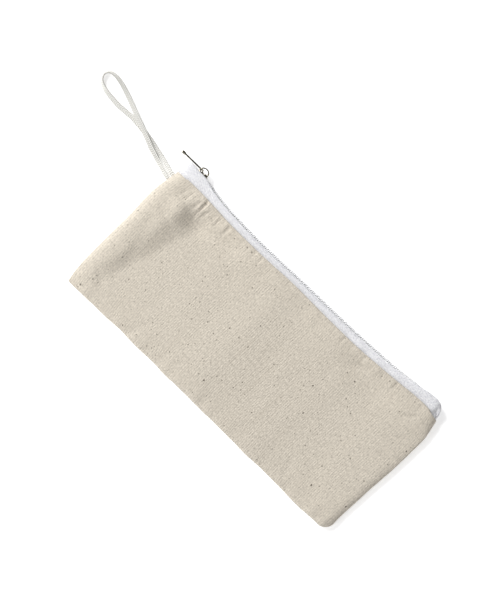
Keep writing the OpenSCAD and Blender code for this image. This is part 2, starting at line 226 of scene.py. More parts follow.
# Shape of the front panel. Heights and depths are in millimetres.
FLAT_LEVEL = 5.2
HEM_RISE = 4.4
terrace_edge = curve(
    [(-50, -104), (-40, -102), (-20, -98), (5, -95), (30, -88), (42, -89)],
    MM, MM
)
terrace_run = curve(
    [(-50, 9), (-40, 10), (-20, 12), (5, 18), (30, 18), (42, 18)],
    MM, MM
)
terrace_share = curve(
    [(-50, 0), (-40, 0.08), (-20, 0.55), (5, 0.85), (30, 0.97), (42, 1)],
    MM
)
long_wave = curve(
    [(-107, 0), (-60, -0.1), (-35, 0.3), (-12, 1.05), (0, 0.55), (12, 0.1), (35, 0),
     (50, -0.4), (70, -0.3), (88, 0.4), (107, 0.5)],
    MM
)

# middle x and y, reach along x and y, and height of soft swellings and hollows
FRONT_SWELLS = [
    (-76, 27, 8, 7, -1.2),
    (-89, 28, 4.5, 8, 0.9),
    (-99, 30, 4, 8, -0.4),
    (-92, 34, 5, 4, -0.5),
    (51, 32, 13, 7, -1.2),
    (-28, 33, 14, 7, 0.45),
    (68, 31, 10, 8, -0.8),
    (-52, 31, 9, 7, -0.45),
    (88, 33, 9, 7, 0.4),
    (62, 25, 12, 8, 0.1),
    (32, -6, 9, 22, -0.35),
    (84, -38, 9, 6, -0.35),
    (-54, 33, 9, 5, -0.45),
    (-40, 30, 6, 6, 0.3),
    (6, 33, 6, 7, -0.4),
    (98, 30, 5, 9, 0.45),
    (-100, -36, 5, 7, 0.15),
]

# start, end, width and height of creases
FRONT_CREASES = [
    ((-96, 34), (-74, 27), 2.6, -0.6),
    ((-88, 37), (-60, 31), 1.8, 0.4),
    ((-84, 22), (-58, 30), 3.2, -0.5),
    ((-97, 14), (-88, -22), 3.5, -0.4),
    ((-101, -30), (-86, -41), 2.4, -0.3),
    ((-98, 20), (-78, 12), 2.2, -0.3),
    ((-92, 40), (-94, 34), 1.1, -0.4),
    ((-88.5, 40), (-90, 33), 1.1, -0.55),
    ((-85, 40), (-86.5, 34.5), 1.0, -0.4),
    ((-81.5, 39.5), (-83.5, 31.5), 1.2, -0.7),
    ((-77.5, 39.5), (-79, 34), 1.0, -0.45),
    ((-74, 39), (-76.5, 30.5), 1.3, -0.6),
    ((-69.5, 39), (-71, 34), 1.0, -0.35),
    ((-65, 39), (-67, 32.5), 1.2, -0.35),
    ((-59, 39), (-60.5, 34), 1.1, -0.3),
    ((104, 22), (88, 15), 1.5, -0.3),
    ((107, 8), (94, 4), 2.0, -0.5),
    ((106, -6), (90, -12), 1.6, -0.3),
    ((104, -22), (92, -26), 1.3, -0.25),
    ((103, -34), (84, -30), 1.8, -0.25),
    ((98, 36), (88, 28), 1.2, -0.3),
    ((60, 38), (44, 28), 2.0, -0.35),
    ((24, 40), (14, 30), 2.2, -0.25),
    ((-20, 40), (-30, 28), 2.2, -0.25),
    ((66, -48), (60, -30), 2.0, -0.2),
    ((-60, -48), (-52, -28), 2.2, -0.2),
]


def front_level(x, y, left, right, low, high):
    """Height of the front panel away from its rolled edges. The last four are distances."""
    hem = (1 - smoothstep(high, -4 * MM, 19 * MM)) / (1 - smoothstep(0, -4 * MM, 19 * MM))
    start = terrace_edge(y)
    terrace = terrace_share(y) * (1 - smoothstep(x, start, start + terrace_run(y)))
    level = FLAT_LEVEL + HEM_RISE * (1 - (1 - hem) * (1 - terrace))
    relief = long_wave(x) + 0.3 * gauss(low, 7 * MM, 5 * MM)
    relief = relief + 0.35 * soft_noise(x, y, 24 * MM, 40 * MM, 11)
    relief = relief + 0.14 * soft_noise(x, y, 10 * MM, 20 * MM, 12)
    relief = relief + 0.04 * soft_noise(x, y, 3.4 * MM, 6 * MM, 13)
    for mx, my, wide, tall, rise in FRONT_SWELLS:
        relief = relief + rise * gauss(x, mx * MM, wide * MM) * gauss(y, my * MM, tall * MM)
    for start, end, width, rise in FRONT_CREASES:
        start = start[0] * MM, start[1] * MM
        end = end[0] * MM, end[1] * MM
        relief = relief + rise * crease(x, y, start, end, width * MM)
    tension = soft_noise(x * 0, y, 1, 4.5 * MM, 14)
    relief = relief + 0.35 * tension * (gauss(left, 0, 9 * MM) + gauss(right, 0, 11 * MM))
    tension = soft_noise(x, y * 0, 5 * MM, 1, 15)
    relief = relief + 0.3 * tension * gauss(low, 0, 8 * MM)
    relief = relief * (1 - 0.8 * gauss(high, 0, 3.5 * MM))
    return level + relief + 0.9 * puckers(x, high, 21)


def edge_distances(u, v):
    """Distances to the left, right, bottom and zip edges of the panel."""
    return u * LENGTH, (1 - u) * LENGTH, v * HEIGHT, (1 - v) * HEIGHT


def seam_height(v):
    """Height of the seam between the two panels."""
    return SEAM_Z - 1.9 * MM * (1 - smoothstep(v, 0.1, 0.95))


def rolled(level, v, left, right, low):
    """A panel's height, brought down to the seam round its three closed edges."""
    far = 1 + 0.5 * smoothstep(v, 0.3, 0.8)
    near = 1 + 0.9 * (1 - smoothstep(v, 0.02, 0.25))
    side = fall(left, 9 * MM * near) * fall(right, 6 * MM * far) * fall(low, 4 * MM)
    return seam_height(v) + (level - seam_height(v)) * side


def front_z(u, v):
    """Height of the front panel's outer surface."""
    x, y = outline_point(u, v)
    left, right, low, high = edge_distances(u, v)
    return rolled(front_level(x, y, left, right, low, high) * MM, v, left, right, low)


def back_z(u, v):
    """Height of the back panel's outer surface, which rests on the ground."""
    x, y = outline_point(u, v)
    left, right, low, high = edge_distances(u, v)
    lift = 0.25 + 0.25 * soft_noise(x, y, 26 * MM, 40 * MM, 31)
    lift = lift + 0.5 * np.abs(puckers(x, high, 41)) + 0.3 * gauss(low, 9 * MM, 4 * MM)
    lift = lift + 0.3 * (gauss(left, 13 * MM, 4 * MM) + gauss(right, 13 * MM, 4 * MM))
    return rolled(np.maximum(lift, 0.03) * MM, v, left, right, low)


# ---------------------------------------------------------------------------------------
# Mesh building


def add_mesh(name, points, faces, cloth=None):
    """A mesh object. cloth gives each point its place on the material, in metres."""
    mesh = bpy.data.meshes.new(name)
    mesh.from_pydata([tuple(p) for p in points], [], faces)
    if cloth is not None:
        layer = mesh.attributes.new("cloth", "FLOAT_VECTOR", "POINT")
        layer.data.foreach_set("vector", np.asarray(cloth, np.float32).ravel())
    mesh.validate()
    mesh.shade_smooth()
    piece = bpy.data.objects.new(name, mesh)
    bpy.context.scene.collection.objects.link(piece)
    return piece


def grid_faces(rows, columns, closed=False, flip=False):
    """Faces of a grid of points numbered row by row."""
    faces = []
    last = columns if closed else columns - 1
    for i in range(rows - 1):
        for j in range(last):
            a = i * columns + j
            b = i * columns + (j + 1) % columns
            face = (a, b, b + columns, a + columns)
            faces.append(face[::-1] if flip else face)
    return faces


def apply_modifiers(piece):
    """Turns a piece's modifiers into mesh."""
    graph = bpy.context.evaluated_depsgraph_get()
    mesh = bpy.data.meshes.new_from_object(piece.evaluated_get(graph))
    piece.modifiers.clear()
    old = piece.data
    piece.data = mesh
    bpy.data.meshes.remove(old)


def thicken(piece, thickness, offset):
    """Gives a sheet its thickness. offset is -1 for inwards and 0 for both ways."""
    solid = piece.modifiers.new("thickness", "SOLIDIFY")
    solid.thickness = thickness
    solid.offset = offset
    solid.use_even_offset = False
    apply_modifiers(piece)
    piece.data.shade_smooth()


def tube_points(path, section, up=(0, 0, 1), tilt=None):
    """Rings of a section swept along a path. A section point is (across, through).

    tilt turns each ring about the path, in degrees.
    """
    path = np.asarray(path, float)
    along = np.gradient(path, axis=0)
    along /= np.linalg.norm(along, axis=1)[:, None]
    across = np.cross(np.broadcast_to(np.asarray(up, float), along.shape), along)
    across /= np.linalg.norm(across, axis=1)[:, None]
    through = np.cross(along, across)
    if tilt is not None:
        c, s = np.cos(np.radians(tilt))[:, None], np.sin(np.radians(tilt))[:, None]
        across, through = across * c + through * s, through * c - across * s
    section = np.asarray(section, float)
    if section.ndim == 2:
        section = np.broadcast_to(section, (len(path),) + section.shape)
    return (
        path[:, None, :]
        + across[:, None, :] * section[:, :, :1]
        + through[:, None, :] * section[:, :, 1:]
    )


def add_tube(name, path, section, up=(0, 0, 1), tilt=None):
    """A closed tube along a path, with cloth = (distance along, place round, 0)."""
    path = np.asarray(path, float)
    rings = tube_points(path, section, up, tilt)
    count, sides = rings.shape[:2]
    faces = grid_faces(count, sides, closed=True)
    faces.append(tuple(range(sides))[::-1])
    faces.append(tuple((count - 1) * sides + k for k in range(sides)))
    step = np.linalg.norm(np.diff(path, axis=0), axis=1)
    distance = np.concatenate([[0], np.cumsum(step)])
    shape = np.asarray(section, float)
    shape = shape if shape.ndim == 3 else np.broadcast_to(shape, (count,) + shape.shape)
    cloth = np.concatenate(
        [np.broadcast_to(distance[:, None, None], (count, sides, 1)), shape], axis=2
    )
    return add_mesh(name, rings.reshape(-1, 3), faces, cloth.reshape(-1, 3))


def circle_section(radius, sides):
    angles = np.arange(sides) * 2 * math.pi / sides
    return np.stack([np.cos(angles), np.sin(angles)], axis=1) * radius


def join(name, pieces):
    """Joins mesh objects into one, keeping their cloth places."""
    points, faces, cloth, start = [], [], [], 0
    for piece in pieces:
        mesh = piece.data
        count = len(mesh.vertices)
        co = np.zeros(count * 3, np.float32)
        mesh.vertices.foreach_get("co", co)
        points.append(co.reshape(-1, 3))
        faces += [tuple(start + k for k in p.vertices) for p in mesh.polygons]
        place = np.zeros(count * 3, np.float32)
        if "cloth" in mesh.attributes:
            mesh.attributes["cloth"].data.foreach_get("vector", place)
        cloth.append(place.reshape(-1, 3))
        start += count
        bpy.data.objects.remove(piece)
        bpy.data.meshes.remove(mesh)
    return add_mesh(name, np.concatenate(points), faces, np.concatenate(cloth))


# ---------------------------------------------------------------------------------------
# Materials


class Nodes:
    """A short way to write a material's node tree."""

    def __init__(self, name):
        self.material = bpy.data.materials.new(name)
        self.material.use_nodes = True
        self.tree = self.material.node_tree
        self.shader = self.tree.nodes["Principled BSDF"]

    def add(self, kind, inputs=None, **settings):
        node = self.tree.nodes.new(kind)
        for key, value in settings.items():
            setattr(node, key, value)
        for key, value in (inputs or {}).items():
            self.put(node.inputs[key], value)
        return node

    def put(self, socket, value):
        if isinstance(value, bpy.types.NodeSocket):
            self.tree.links.new(value, socket)
        else:
            socket.default_value = value

    def math(self, operation, a, b=0.5, c=0.5):
        node = self.add("ShaderNodeMath", operation=operation)
        for socket, value in zip(node.inputs, (a, b, c)):
            self.put(socket, value)
        return node.outputs[0]

    def cloth(self, scale=(1, 1, 1)):
        """Place on the cloth, in metres times scale."""
        place = self.add("ShaderNodeAttribute", attribute_name="cloth").outputs["Vector"]
        return self.scaled(place, scale)

    def position(self, scale=(1, 1, 1)):
        """Place in the object's frame, in metres times scale."""
        place = self.add("ShaderNodeTexCoord").outputs["Object"]
        return self.scaled(place, scale)

    def scaled(self, place, scale):
        node = self.add("ShaderNodeMapping", {"Vector": place, "Scale": scale})
        return node.outputs[0]

    def split(self, vector):
        return self.add("ShaderNodeSeparateXYZ", {"Vector": vector}).outputs

    def noise(self, vector, scale, detail=3, roughness=0.6):
        inputs = {"Vector": vector, "Scale": scale, "Detail": detail, "Roughness": roughness}
        return self.add("ShaderNodeTexNoise", inputs).outputs["Fac"]

    def mix(self, factor, a, b, blend="MIX"):
        node = self.add("ShaderNodeMix", data_type="RGBA", blend_type=blend)
        self.put(node.inputs[0], factor)
        self.put(node.inputs[6], a)
        self.put(node.inputs[7], b)
        return node.outputs[2]

    def ramp(self, value, low, high, to_low=0, to_high=1):
        inputs = {"Value": value, "From Min": low, "From Max": high,
                  "To Min": to_low, "To Max": to_high}
        return self.add("ShaderNodeMapRange", inputs).outputs[0]

    def wave(self, coordinate, pitch):
        """Rounded ridges, 0 to 1, one for each pitch along a coordinate in metres."""
        angle = self.math("MULTIPLY", coordinate, 2 * math.pi / pitch)
        return self.math("MULTIPLY_ADD", self.math("SINE", angle), 0.5, 0.5)

    def bump(self, height, distance, strength=1):
        inputs = {"Height": height, "Distance": distance, "Strength": strength}
        return self.add("ShaderNodeBump", inputs).outputs["Normal"]

    def surface(self, color, roughness, normal=None, **plain):
        self.put(self.shader.inputs["Base Color"], color)
        self.put(self.shader.inputs["Roughness"], roughness)
        if normal is not None:
            self.put(self.shader.inputs["Normal"], normal)
        for key, value in plain.items():
            self.shader.inputs[key.replace("_", " ")].default_value = value
        return self.material


CANVAS_TINT = (0.597, 0.543, 0.461, 1)
FLECK_TINT = (0.05, 0.037, 0.024, 1)


def canvas_material(name):
    """Unbleached plain weave: uneven ribs across the pouch, slubs and dark seed flecks, with painted
    shade in the weave's valleys.
    """
    n = Nodes(name)
    place = n.cloth()
    along, across, _ = n.split(place)
    wander = n.noise(n.cloth((1, 0.25, 1)), 420, 2)
    along = n.math("MULTIPLY_ADD", n.math("SUBTRACT", wander, 0.5), 0.0014, along)
    sway = n.noise(n.cloth((0.3, 1, 1)), 380, 2)
    across = n.math("MULTIPLY_ADD", n.math("SUBTRACT", sway, 0.5), 0.0012, across)
    ribs = n.wave(along, 1.3 * MM)
    picks = n.wave(across, 1.1 * MM)
    over = n.math("MULTIPLY", n.wave(along, 2.6 * MM), n.wave(across, 2.2 * MM))
    slub = n.noise(n.cloth((1, 0.45, 1)), 1250, 2, 0.6)
    grain = n.noise(n.cloth((1, 0.8, 1)), 1700, 2, 0.7)
    height = n.math("MULTIPLY", ribs, 0.6)
    height = n.math("MULTIPLY_ADD", picks, 0.25, height)
    height = n.math("MULTIPLY_ADD", over, 0.2, height)
    height = n.math("MULTIPLY_ADD", slub, 3.4, height)
    height = n.math("MULTIPLY_ADD", grain, 3.2, height)

    # The weave's height darkens the colour: the slubs and grain are the yarn's own tone, and the
    # darker rib and pick valleys are painted shade.
    weave_tone_and_shade = n.ramp(height, 2.6, 5.0, 0.67, 1.3)
    grey = n.add("ShaderNodeCombineXYZ", {0: weave_tone_and_shade, 1: weave_tone_and_shade, 2: weave_tone_and_shade}).outputs[0]
    color = n.mix(1.0, CANVAS_TINT, grey, "MULTIPLY")
    patchy = n.ramp(n.noise(n.cloth((1, 0.35, 1)), 45, 3), 0.35, 0.65, 0, 1)
    color = n.mix(n.math("MULTIPLY", patchy, 0.1), color, (0.475, 0.425, 0.345, 1))
    streak = n.ramp(n.noise(n.cloth((1, 0.06, 1)), 260, 2), 0.58, 0.75, 0, 0.2)
    color = n.mix(streak, color, (0.42, 0.37, 0.3, 1))

    for scale, least, most, seed in ((260.0, 0.8, 0.135, 0.0), (420.0, 0.82, 0.15, 3.0)):
        shifted = n.add("ShaderNodeMapping", {"Vector": place, "Location": (seed, seed, 0),
                                              "Scale": (1, 0.8, 1)}).outputs[0]
        cells = n.add("ShaderNodeTexVoronoi", {"Vector": shifted, "Scale": scale},
                      voronoi_dimensions="2D")
        chance, strength, _ = n.split(cells.outputs["Color"])
        size = n.ramp(chance, least, 1.0, 0.0, most)
        fleck = n.ramp(n.math("SUBTRACT", size, cells.outputs["Distance"]), 0, 0.03, 0, 1)
        depth = n.ramp(strength, 0, 1, 0.25, 0.95)
        color = n.mix(n.math("MULTIPLY", fleck, depth), color, FLECK_TINT)
    return n.surface(color, 0.92, n.bump(height, 0.1 * MM, 0.65), Sheen_Weight=0.2,
                     Sheen_Roughness=0.6, Specular_IOR_Level=0.15)


def tape_material(name):
    """White woven polyester tape: fine herringbone ribs."""
    n = Nodes(name)
    along, across, _ = n.split(n.cloth())
    bone = 1.6 * MM
    turn = n.math("FRACT", n.math("DIVIDE", across, bone))
    slant = n.math("ABSOLUTE", n.math("SUBTRACT", turn, 0.5))
    slanted = n.math("ADD", along, n.math("MULTIPLY", slant, bone))
    twill = n.wave(slanted, 0.62 * MM)
    warp = n.wave(across, 0.4 * MM)
    grain = n.noise(n.cloth(), 2500, 3, 0.7)
    height = n.math("ADD", n.math("MULTIPLY", twill, 0.6), n.math("MULTIPLY", warp, 0.35))
    height = n.math("ADD", height, n.math("MULTIPLY", grain, 0.5))
    mottle = n.noise(n.cloth((1, 0.8, 1)), 1300, 2, 0.7)
    # The mottle and grain are the yarn's own tone, and the darker twill and warp valleys are painted
    # shade.
    weave_tone_and_shade = n.ramp(n.math("MULTIPLY_ADD", mottle, 5, height), 2.4, 4.2, 0, 1)
    color = n.mix(weave_tone_and_shade, (0.56, 0.56, 0.6, 1), (0.93, 0.93, 0.93, 1))
    return n.surface(color, 0.75, n.bump(height, 0.1 * MM, 0.8), Sheen_Weight=0.2,
                     Sheen_Roughness=0.5, Specular_IOR_Level=0.3)


def nylon_material(name):
    """White nylon monofilament with faint drawing lines."""
    n = Nodes(name)
    lines = n.noise(n.cloth((1, 8, 8)), 900, 2)
    color = n.mix(lines, (0.9, 0.905, 0.92, 1), (0.96, 0.96, 0.965, 1))
    rough = n.ramp(lines, 0.3, 0.7, 0.28, 0.42)
    return n.surface(color, rough, n.bump(lines, 0.02 * MM, 0.4), Subsurface_Weight=0.6,
                     Subsurface_Radius=(0.002, 0.002, 0.002), Coat_Weight=0.1)


def thread_material(name, tint, pitch=0.5 * MM):
    """Twisted thread: slanting strands along its length, with painted shade in the grooves between
    them.
    """
    n = Nodes(name)
    along, across, through = n.split(n.cloth())
    slanted = n.math("ADD", along, n.math("MULTIPLY", n.math("ADD", across, through), 1.6))
    strands = n.wave(slanted, pitch)
    fuzz = n.noise(n.cloth(), 5000, 2)
    height = n.math("ADD", strands, n.math("MULTIPLY", fuzz, 0.4))
    # dark is painted shade for the grooves between the strands.
    dark = tuple(0.72 * c for c in tint[:3]) + (1,)
    color = n.mix(n.ramp(height, 0.1, 1.1, 0, 1), dark, tint)
    return n.surface(color, 0.8, n.bump(height, 0.05 * MM, 0.8), Sheen_Weight=0.3)


RIB_PITCH = 1.25 * MM


def braid_material(name):
    """Off-white flat braid: fine cross ribs that slant to a centre line, with painted shade in the rib
    grooves and along both edges.
    """
    n = Nodes(name)
    along, across, _ = n.split(n.cloth())
    slant = n.math("MULTIPLY", n.math("ABSOLUTE", across), 0.55)
    ribs = n.wave(n.math("SUBTRACT", along, slant), RIB_PITCH)
    centre = n.ramp(n.math("ABSOLUTE", across), 0, 0.3 * MM, 0.6, 1.0)
    edge = n.ramp(n.math("ABSOLUTE", across), 1.0 * MM, 1.45 * MM, 0, 0.45)
    grain = n.noise(n.cloth((0.5, 1, 1)), 4200, 3, 0.7)
    height = n.math("ADD", n.math("MULTIPLY", ribs, centre), n.math("MULTIPLY", grain, 0.55))
    # The grain is the yarn's own tone, and the darker rib grooves are painted shade.
    color = n.mix(n.ramp(height, 0.35, 1.05, 0, 1), (0.46, 0.45, 0.415, 1), (0.86, 0.85, 0.815, 1))
    # Painted shade darkens both edges of the strap.
    color = n.mix(edge, color, (0.34, 0.33, 0.3, 1))
    patchy = n.noise(n.cloth(), 120, 2)
    color = n.mix(n.ramp(patchy, 0.4, 0.7, 0, 0.25), color, (0.66, 0.645, 0.6, 1))
    return n.surface(color, 0.7, n.bump(height, 0.16 * MM, 1.0), Sheen_Weight=0.3,
                     Sheen_Roughness=0.45, Specular_IOR_Level=0.3)


def metal_material(name, tint, rough):
    """Plated zinc: fine tumbled scratches, and darker plating in random patches."""
    n = Nodes(name)
    scratches = n.noise(n.position((1, 3, 1)), 1900, 3, 0.7)
    cloud = n.noise(n.position(), 520, 2)
    dark = tuple(0.5 * c for c in tint[:3]) + (1,)
    color = n.mix(n.ramp(cloud, 0.35, 0.6, 0, 1), dark, tint)
    roughness = n.ramp(scratches, 0.3, 0.7, rough - 0.08, rough + 0.12)
    return n.surface(color, roughness, n.bump(scratches, 0.015 * MM, 0.5), Metallic=1.0)


def floor_material(name):
    """Plain pale studio floor."""
    n = Nodes(name)
    grain = n.noise(n.position(), 12, 2)
    color = n.mix(grain, (0.94, 0.94, 0.945, 1), (0.96, 0.96, 0.96, 1))
    n.put(n.shader.inputs["Emission Color"], color)
    return n.surface(color, 0.9, Specular_IOR_Level=0.1, Emission_Strength=0.45)


CANVAS = canvas_material("canvas_weave")
TAPE = tape_material("zip_tape_weave")
NYLON = nylon_material("zip_nylon")
SEWING = thread_material("sewing_thread_twist", (0.76, 0.73, 0.65, 1))
COIL_THREAD = thread_material("coil_thread_twist", (0.93, 0.93, 0.95, 1))
CORE = thread_material("core_cord_twist", (0.95, 0.95, 0.96, 1), 0.9 * MM)
BRAID = braid_material("loop_braid")
SLIDER_METAL = metal_material("slider_nickel", (0.36, 0.33, 0.26, 1), 0.2)
PULL_METAL = metal_material("pull_nickel", (0.6, 0.57, 0.47, 1), 0.2)
STOP_METAL = metal_material("stop_aluminium", (0.78, 0.78, 0.8, 1), 0.35)


def dress(piece, body, material, slot, *replaced):
    """Gives a piece its material, its body and the CAD nodes that it stands for."""
    piece.data.materials.clear()
    piece.data.materials.append(material)
    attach(piece, body)
    if replaced:
        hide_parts(*replaced)
    return piece


# ---------------------------------------------------------------------------------------
# Camera: straight above the case, turned so that the zip falls to the lower right

VIEW_TURN = math.radians(44)
VIEW_HEIGHT = 0.3534
LENS = 100
SENSOR = 36
AIM = Vector(((LEFT + RIGHT) / 2 - 21.5 * MM, 16.4 * MM, 0))


def add_camera():
    data = bpy.data.cameras.new("camera")
    data.lens = LENS
    data.sensor_width = SENSOR
    camera = bpy.data.objects.new("camera", data)
    camera.location = AIM + Vector((0, 0, VIEW_HEIGHT * LENS / SENSOR + SEAM_Z))
    camera.rotation_euler = (0, 0, VIEW_TURN)
    bpy.context.scene.collection.objects.link(camera)
    bpy.context.scene.camera = camera


add_camera()


# ---------------------------------------------------------------------------------------
# Braid loop: x, y, z in millimetres and tilt in degrees, as in the CAD model's route

LOOP_ROUTE = [
    (-101, 34.4, 4.8, 0),
    (-107, 34.8, 4.8, 0),
    (-112, 36.2, 3.4, 0),
    (-117, 37.7, 2.3, 0),
    (-122, 39.4, 2.1, 0),
    (-126, 40.7, 2.1, 0),
    (-130, 42.4, 2.1, 0),
    (-137, 45.3, 2.1, 0),
    (-146, 48.9, 2.1, 0),
    (-152, 51.3, 1.6, 5),
    (-158, 53.7, 1.2, 12),
    (-164, 55.7, 1.3, 25),
    (-170, 56.9, 1.7, 45),
    (-173.8, 56.4, 1.85, 58),
    (-176, 54.4, 1.9, 62),
    (-176.2, 51.8, 1.9, 62),
    (-174.4, 49, 1.85, 58),
    (-169.5, 46.7, 1.6, 40),
    (-164, 45.8, 1.2, 20),
    (-158, 45.4, 0.95, 8),
    (-152, 45.6, 0.7, 0),
    (-147, 45.9, 0.7, 0),
    (-142, 45.5, 0.7, 0),
    (-137, 44.9, 0.7, 0),
    (-130, 43.9, 0.7, 0),
    (-123, 42.3, 0.75, 0),
    (-117, 41, 1.4, 0),
    (-111, 39.3, 3.4, 0),
    (-107, 38.1, 4.8, 0),
    (-101, 37.9, 4.8, 0),
]
STRAP_WIDTH = 3 * MM
STRAP_T = 1.2 * MM


def smooth_route(route, step):
    """Catmull-Rom curve through the route's points, sampled every step metres."""
    points = np.array(route, float)
    padded = np.concatenate([points[:1], points, points[-1:]])
    dense = []
    for a, b, c, d in zip(padded, padded[1:], padded[2:], padded[3:]):
        for t in np.linspace(0, 1, 40, endpoint=False):
            dense.append(0.5 * (2 * b + (c - a) * t + (2 * a - 5 * b + 4 * c - d) * t ** 2
                                + (3 * b - a - 3 * c + d) * t ** 3))
    dense = np.array(dense + [points[-1]])
    dense[:, :3] *= MM
    length = np.concatenate([[0], np.cumsum(np.linalg.norm(np.diff(dense[:, :3], axis=0), axis=1))])
    places = np.linspace(0, length[-1], int(length[-1] / step))
    return np.stack([np.interp(places, length, dense[:, k]) for k in range(4)], axis=1), length[-1]


def add_loop():
    """The flat braid, with its cross ribs raised in the mesh."""
    route, length = smooth_route(LOOP_ROUTE, 0.2 * MM)
    path, tilt = route[:, :3], route[:, 3]
    sides = 20
    angles = (np.arange(sides) + 0.5) * 2 * math.pi / sides
    across = np.sign(np.cos(angles)) * np.abs(np.cos(angles)) ** 0.5 * (STRAP_WIDTH / 2 - 0.08 * MM)
    through = np.sign(np.sin(angles)) * np.abs(np.sin(angles)) ** 0.7 * (STRAP_T / 2 - 0.08 * MM)
    through = through * (1 - 0.22 * np.exp(-((across / (0.35 * MM)) ** 2)))
    distance = np.linspace(0, length, len(path))
    ribs = np.sin(2 * math.pi * (distance[:, None] - 0.55 * np.abs(across)[None]) / RIB_PITCH)
    swell = 1 + 0.08 * ribs + 0.03 * np.sin(distance / (9 * MM))[:, None]
    from_seam = np.minimum(distance, length - distance)[:, None]
    spread = 1 + 0.13 * smoothstep(from_seam, 14 * MM, 26 * MM)
    wide = across[None] * (1 + 0.25 * (swell - 1)) * spread
    section = np.stack([wide, through[None] * swell], axis=2)
    loop = add_tube("braid_loop", path, section, tilt=tilt)
    dress(loop, "case", BRAID, "braid", "loop_strap")


add_loop()


# ---------------------------------------------------------------------------------------
# Canvas panels

GRID_STEP = 0.8 * MM
HEM_R = 0.62 * MM


def sheet_part(us, vs, height, flip):
    """Points, faces and cloth places of a panel's outer layer."""
    u, v = np.meshgrid(us, vs, indexing="xy")
    x, y = outline_point(u, v)
    z = height(u, v)
    points = np.stack([x, y, z], axis=-1).reshape(-1, 3)
    cloth = np.stack([u * LENGTH, v * HEIGHT, 0 * u], axis=-1).reshape(-1, 3)
    return points, grid_faces(len(vs), len(us), flip=flip), cloth


def add_panel(name, height, side, node):
    """One canvas panel. side is 1 for the front and -1 for the back.

    Its zip edge is folded under, and its other edges turn in as seam allowances.
    """
    us = spaced(LENGTH, GRID_STEP) / LENGTH
    vs = spaced(HEIGHT, GRID_STEP) / HEIGHT
    points, faces, cloth = sheet_part(us, vs, height, flip=side < 0)
    columns = len(us)
    rows = len(vs)

    def add_strip(line, places, inner, cloth_step):
        """A strip that starts on the points of "line" and runs through the rows of inner."""
        nonlocal points, faces, cloth
        start = len(points)
        width = len(line)
        points = np.concatenate([points] + inner)
        for k in range(len(inner)):
            cloth = np.concatenate([cloth, cloth[line] + np.array(cloth_step) * places[k]])
        above = list(line)
        for k in range(len(inner)):
            below = [start + k * width + i for i in range(width)]
            for i in range(width - 1):
                face = (above[i], above[i + 1], below[i + 1], below[i])
                faces.append(face if side > 0 else face[::-1])
            above = below

    # fold of the zip edge, then the layer that lies under the canvas
    top = np.arange((rows - 1) * columns, rows * columns)
    inside = (us > 0.035) & (us < 0.965)
    top = top[inside]
    base = points[top]
    fold = []
    places = []
    for angle in (45, 90, 135, 180):
        a = math.radians(angle)
        step = np.array([0, math.sin(a) * HEM_R, -side * (1 - math.cos(a)) * HEM_R])
        fold.append(base + step)
        places.append(angle / 90 * MM)
    for back in np.linspace(1, ALLOWANCE / MM, 6):
        u, v = us[inside], 1 - back * MM / HEIGHT + 0 * us[inside]
        x, y = outline_point(u, v)
        fold.append(np.stack([x, y, height(u, v) - side * 2 * HEM_R], axis=1))
        places.append((2 + back) * MM)
    add_strip(top, places, fold, (0, 1, 0))

    # seam allowances at the two sides and the bottom
    trim = (vs > 0.02) & (vs < 0.93)
    left = (np.arange(rows) * columns)[trim][::-1]
    right = (np.arange(rows) * columns + columns - 1)[trim]
    low = np.arange(columns)[(us > 0.05) & (us < 0.95)]
    rise = side * (CANVAS_T / 2 + 0.05 * MM)
    steps = np.array([0.4, 1.2, 3, 5.5, 8]) * MM
    for line, direction in ((left, (1, 0, 0)), (right, (-1, 0, 0)), (low, (0, 1, 0))):
        way = np.array(direction)
        rows_in = [points[line] + way * s + np.array([0, 0, rise]) for s in steps]
        add_strip(line, list(steps), rows_in, -way)

    panel = add_mesh(name, points, faces, cloth)
    thicken(panel, CANVAS_T, -1)
    dress(panel, "case", CANVAS, "canvas", node)


# name, side and surface of the two halves of the pouch
HALVES = (("front", 1, front_z), ("back", -1, back_z))

for half, side, surface in HALVES:
    add_panel(half + "_canvas", surface, side, half + "_panel")


# ---------------------------------------------------------------------------------------
# Zip tapes

# across the tape's outer edge, from the coil to the crest: share of the overhang, extra
# distance outwards and rise from the seam plane, in millimetres
TAPE_EDGE = [
    (0, 0, 1), (0, 0, 1.9), (0, 0, 2.8), (0, 0, 3.5), (0.08, 0, 3.9), (0.45, 0, 4.12),
    (0.85, 0, 4.2), (1, 0.1, 4.42), (0.88, -0.08, 4.64), (0.5, -0.3, 4.7), (0.1, -0.6, 4.66),
]
TAPE_UNDER = (0, 1.5, 3, 5, 8)
tape_x = curve([(0, -102.4), (0.03, -99), (0.06, -94.2), (0.1, -85.6), (0.5, 0), (0.9, 85.6),
                (0.94, 94), (0.96, 98.4), (0.975, 101.2), (0.988, 103.2), (1, 104.9)])
tape_turn = curve([(0.94, 0), (0.95, 0), (0.957, 0), (0.965, 12), (0.975, 32), (0.985, 55),
                   (1, 70)])
tape_drop = curve([(0.94, 0), (0.95, 0), (0.956, 0), (0.962, -0.12), (0.975, -0.95),
                   (0.988, -2.9), (1, -6)])
tape_open = curve([(0, 0.86), (0.01, 0.95), (0.025, 1), (0.09, 1), (0.16, 0.9), (0.8, 0.88),
                   (0.88, 0.97), (0.945, 1), (0.965, 0.94), (0.98, 0.74), (0.99, 0.5), (1, 0.2)])
overhang = curve(
    [(-103, 2.2), (-98, 1.9), (-94.3, 1.5), (-91.5, 1.35), (-89, 1.15), (-86.5, 0.5),
     (-84, 0.1), (-80, 0), (70, 0.05), (80, 0.4), (86, 1.1), (93, 2.1), (98.4, 2.4),
     (101.2, 2.1), (103.2, 1.2), (105, 0.4)],
    MM
)
TUCK_X = 102.1 * MM
TUCK_DEPTH = 0.8 * MM


